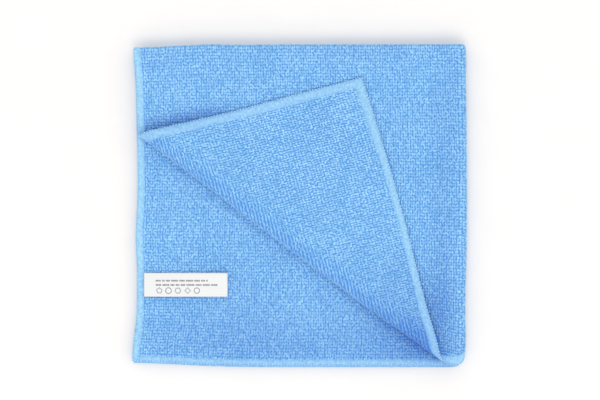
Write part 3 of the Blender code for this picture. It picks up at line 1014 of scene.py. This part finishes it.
def hem_sides():
    """Each side of the cut: its start, its direction, the direction inwards, and its length."""
    return (
        ((0, 0), (1, 0), (0, 1), CUT_WIDTH),
        ((CUT_WIDTH, 0), (0, 1), (-1, 0), CUT_HEIGHT),
        ((CUT_WIDTH, CUT_HEIGHT), (-1, 0), (0, -1), CUT_WIDTH),
        ((0, CUT_HEIGHT), (0, -1), (1, 0), CUT_HEIGHT),
    )


def hem_section():
    """The hem's whole section, from the upper face round the edge to the under face."""
    under = [(inwards, -height) for inwards, height in reversed(HEM_SECTION)]
    return [*HEM_SECTION, HEM_EDGE, *under]


def hem_place(side, along, inwards):
    start, direction, inner, _ = side
    u = start[0] + direction[0] * along + inner[0] * inwards
    v = start[1] + direction[1] * along + inner[1] * inwards
    return u, v


def overlock_hem(finish):
    """The thread wound over the cut edge, as a ribbed skin round the edge, mitred at the corners."""
    section = hem_section()
    points, faces, own_darkening = [], [], []
    for side in hem_sides():
        length = side[3]
        count = int(round(length * THREAD_STEPS / THREAD_PITCH)) + 1
        share = np.linspace(0, 1, count)
        first = sum(len(p) for p in points)
        width = hem_width(*hem_place(side, share * length, 0))
        for inner, height in section:
            inwards = inner * width
            along = inwards + share * (length - 2 * inwards)
            slant = along + THREAD_SLANT * inwards * np.sign(height)
            rib = 0.5 + 0.5 * np.cos(math.tau * slant / THREAD_PITCH)
            uneven = HEM_UNEVEN * np.sin(along * 410 + inwards * 300)
            relief = THREAD_RELIEF * (rib - 0.5) * (0.6 + 0.4 * abs(height))
            u, v = hem_place(side, along, inwards + (relief if height == 0 else 0))
            w = height * (HEM_HALF + uneven) + np.sign(height) * relief
            points.append(np.stack((u, v, w), axis=1))
            # Painted shade at the hem's two edges, where its rounded section turns down; on the turned
            # corner and the far side the hem is also a little darker.
            darker = hem_by_place(u, v, 0, np.where(v < u, *FLAP_HEM_DARKER), FAR_HEM_DARKER)
            own_darkening.append(darker + HEM_EDGES_PAINTED_SHADE * (2 * inner - 1) ** 2)
        rows = len(section)
        grid = first + np.arange(rows)[:, None] * count + np.arange(count)[None]
        a, b = grid[:-1, :-1].ravel(), grid[:-1, 1:].ravel()
        c, d = grid[1:, 1:].ravel(), grid[1:, :-1].ravel()
        faces.append(np.stack((a, b, c, d), axis=1))
    points = np.concatenate(points)
    faces = np.concatenate(faces)
    own_darkening = np.concatenate(own_darkening)
    return piece_from("overlock_hem", points, faces.tolist(), fold_cloth, finish, HEM_PAINTED_SHADE_SHARE, own_darkening)


def edge_chain(finish):
    """The chain of looper thread that locks the overlock stitches along the very edge."""
    links = []
    for side in hem_sides():
        at = np.arange(CHAIN_PITCH / 2, side[3], CHAIN_PITCH)
        skew = random.normal(0, CHAIN_SKEW, len(at))
        link = np.empty((len(at), len(CHAIN_SPINE) * LOOP_SIDES, 3))
        for ring, (place, share) in enumerate(CHAIN_SPINE):
            for corner in range(LOOP_SIDES):
                around = math.tau * (corner + 0.5) / LOOP_SIDES
                inwards = CHAIN_INSET + (place + skew) * CHAIN_SLANT
                inwards = inwards - share * CHAIN_HALF_WIDTH * math.cos(around)
                i = ring * LOOP_SIDES + corner
                along = at + place * CHAIN_PITCH * CHAIN_LINK
                link[:, i, 0], link[:, i, 1] = hem_place(side, along, inwards)
                link[:, i, 2] = share * CHAIN_HALF_HEIGHT * math.sin(around) + skew * MM
        links.append(link)
    points, faces = repeat_shape(np.concatenate(links), loop_shape())
    return outwards(piece_from("edge_chain", points, faces.tolist(), fold_cloth, finish, HEM_PAINTED_SHADE_SHARE))


# ---------------------------------------------------------------- the label


def ribbon(finish):
    bm = flat_grid(spaced(0, LABEL_LENGTH, LABEL_CELL), spaced(0, LABEL_WIDTH, LABEL_CELL))
    return flat_sheet("care_label_ribbon", bm, LABEL_RIBBON / 2, lay_label, finish)


def print_bar(u, v, width, height):
    """A thin printed bar, as a plate that stands just proud of the ribbon."""
    corners = ((u, v), (u + width, v), (u + width, v + height), (u, v + height))
    return [(x, y, w) for w in PRINT_HEIGHTS for x, y in corners]


PLATE_FACES = ((0, 3, 2, 1), (4, 5, 6, 7), (0, 1, 5, 4), (1, 2, 6, 5), (2, 3, 7, 6), (3, 0, 4, 7))


def plain_outline(u, corners, turn):
    """A closed outline with so many corners, as bars of the print end to end."""
    plates = []
    inner = OUTLINE_RADIUS - OUTLINE_STROKE
    ring = [math.tau * i / corners + turn for i in range(corners + 1)]
    for a, b in zip(ring, ring[1:]):
        flat = []
        for angle, radius in ((a, OUTLINE_RADIUS), (b, OUTLINE_RADIUS), (b, inner), (a, inner)):
            flat.append((u + radius * math.cos(angle), OUTLINE_UP + radius * math.sin(angle)))
        plates.append([(x, y, w) for w in PRINT_HEIGHTS for x, y in flat])
    return plates


def label_print(finish):
    """Two rows of short dashes in place of the words, and a row of plain outlines under them."""
    plates = []
    for height, place, last in PRINT_ROWS:
        while place < last:
            stop = min(place + random.uniform(*WORD_LENGTHS) * MM, last)
            while place < stop:
                dash = random.uniform(*DASH_LENGTHS) * MM
                plates.append(print_bar(place, height, dash, DASH_HEIGHT))
                place += dash + DASH_GAP
            place += WORD_GAP
    for place, corners, turn in OUTLINES:
        plates += plain_outline(place, corners, turn)
    points, faces = repeat_shape(np.array(plates), PLATE_FACES)
    return outwards(piece_from("care_label_print", points, faces.tolist(), lay_label, finish, smooth=False))


# ---------------------------------------------------------------- the studio


def studio_floor():
    bm = bmesh.new()
    bmesh.ops.create_grid(bm, x_segments=8, y_segments=8, size=2.0)
    mesh = bpy.data.meshes.new("studio_floor")
    bm.to_mesh(mesh)
    bm.free()
    mesh.materials.append(studio_paper())
    floor = bpy.data.objects.new("studio_floor", mesh)
    bpy.context.scene.collection.objects.link(floor)
    return floor


def area_light(name, place, size, power):
    """A soft box at place, aimed at the cloth."""
    light = bpy.data.lights.new(name, "AREA")
    light.shape = "SQUARE"
    light.size = size
    light.energy = power
    made = bpy.data.objects.new(name, light)
    made.location = place
    made.rotation_euler = (-Vector(place)).to_track_quat("-Z", "Y").to_euler()
    bpy.context.scene.collection.objects.link(made)


def studio_light():
    world = bpy.data.worlds.new("soft studio dome")
    world.use_nodes = True
    background = world.node_tree.nodes["Background"]
    background.inputs["Color"].default_value = linear("FFFFFF")
    background.inputs["Strength"].default_value = 1.0
    bpy.context.scene.world = world
    area_light("soft_box_front", (0.0, -0.9, 1.8), 0.9, 8)


def overhead_camera():
    """A long lens straight above the cloth, so that the view is nearly without perspective."""
    camera = bpy.data.cameras.new("overhead_camera")
    camera.sensor_width = 36
    camera.lens = 150
    made = bpy.data.objects.new("overhead_camera", camera)
    made.location = (*CAMERA_OVER, VIEW_WIDTH * camera.lens / camera.sensor_width)
    bpy.context.scene.collection.objects.link(made)
    bpy.context.scene.camera = made


def build():
    pile_finish = split_microfibre("blue looped microfibre", "7AB8EC", "97CFF9", "B1E2FF", 0.5)
    # The ground knit's colours are darker than the pile's: painted shade for the gaps between the loops.
    ground_finish = split_microfibre("blue microfibre ground knit", "4C90D4", "5A9CDE", "68A8E8", 0.2)
    hem_finish = overlock_thread("overlock thread, bulked polyester", "8BC1E7", "A6D9F6")
    chain_finish = overlock_thread("looper thread, twisted polyester", "A8D8F4", "B4E0F8")
    cloth = ground_knit(ground_finish)
    trimmings = [
        top_layer_pile(pile_finish),
        fold_pile(pile_finish),
        flap_pile(pile_finish),
        second_layer_pile(pile_finish),
        underside_pile(pile_finish),
        overlock_hem(hem_finish),
        edge_chain(chain_finish),
    ]
    label = ribbon(satin_ribbon())
    marks = label_print(printing_ink())
    for piece in [cloth] + trimmings:
        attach(piece, "root")
    for piece in (label, marks):
        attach(piece, "root")
    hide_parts("cloth")
    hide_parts("care_label")


studio_floor()
studio_light()
overhead_camera()
bpy.context.scene.view_settings.view_transform = "Standard"
build()
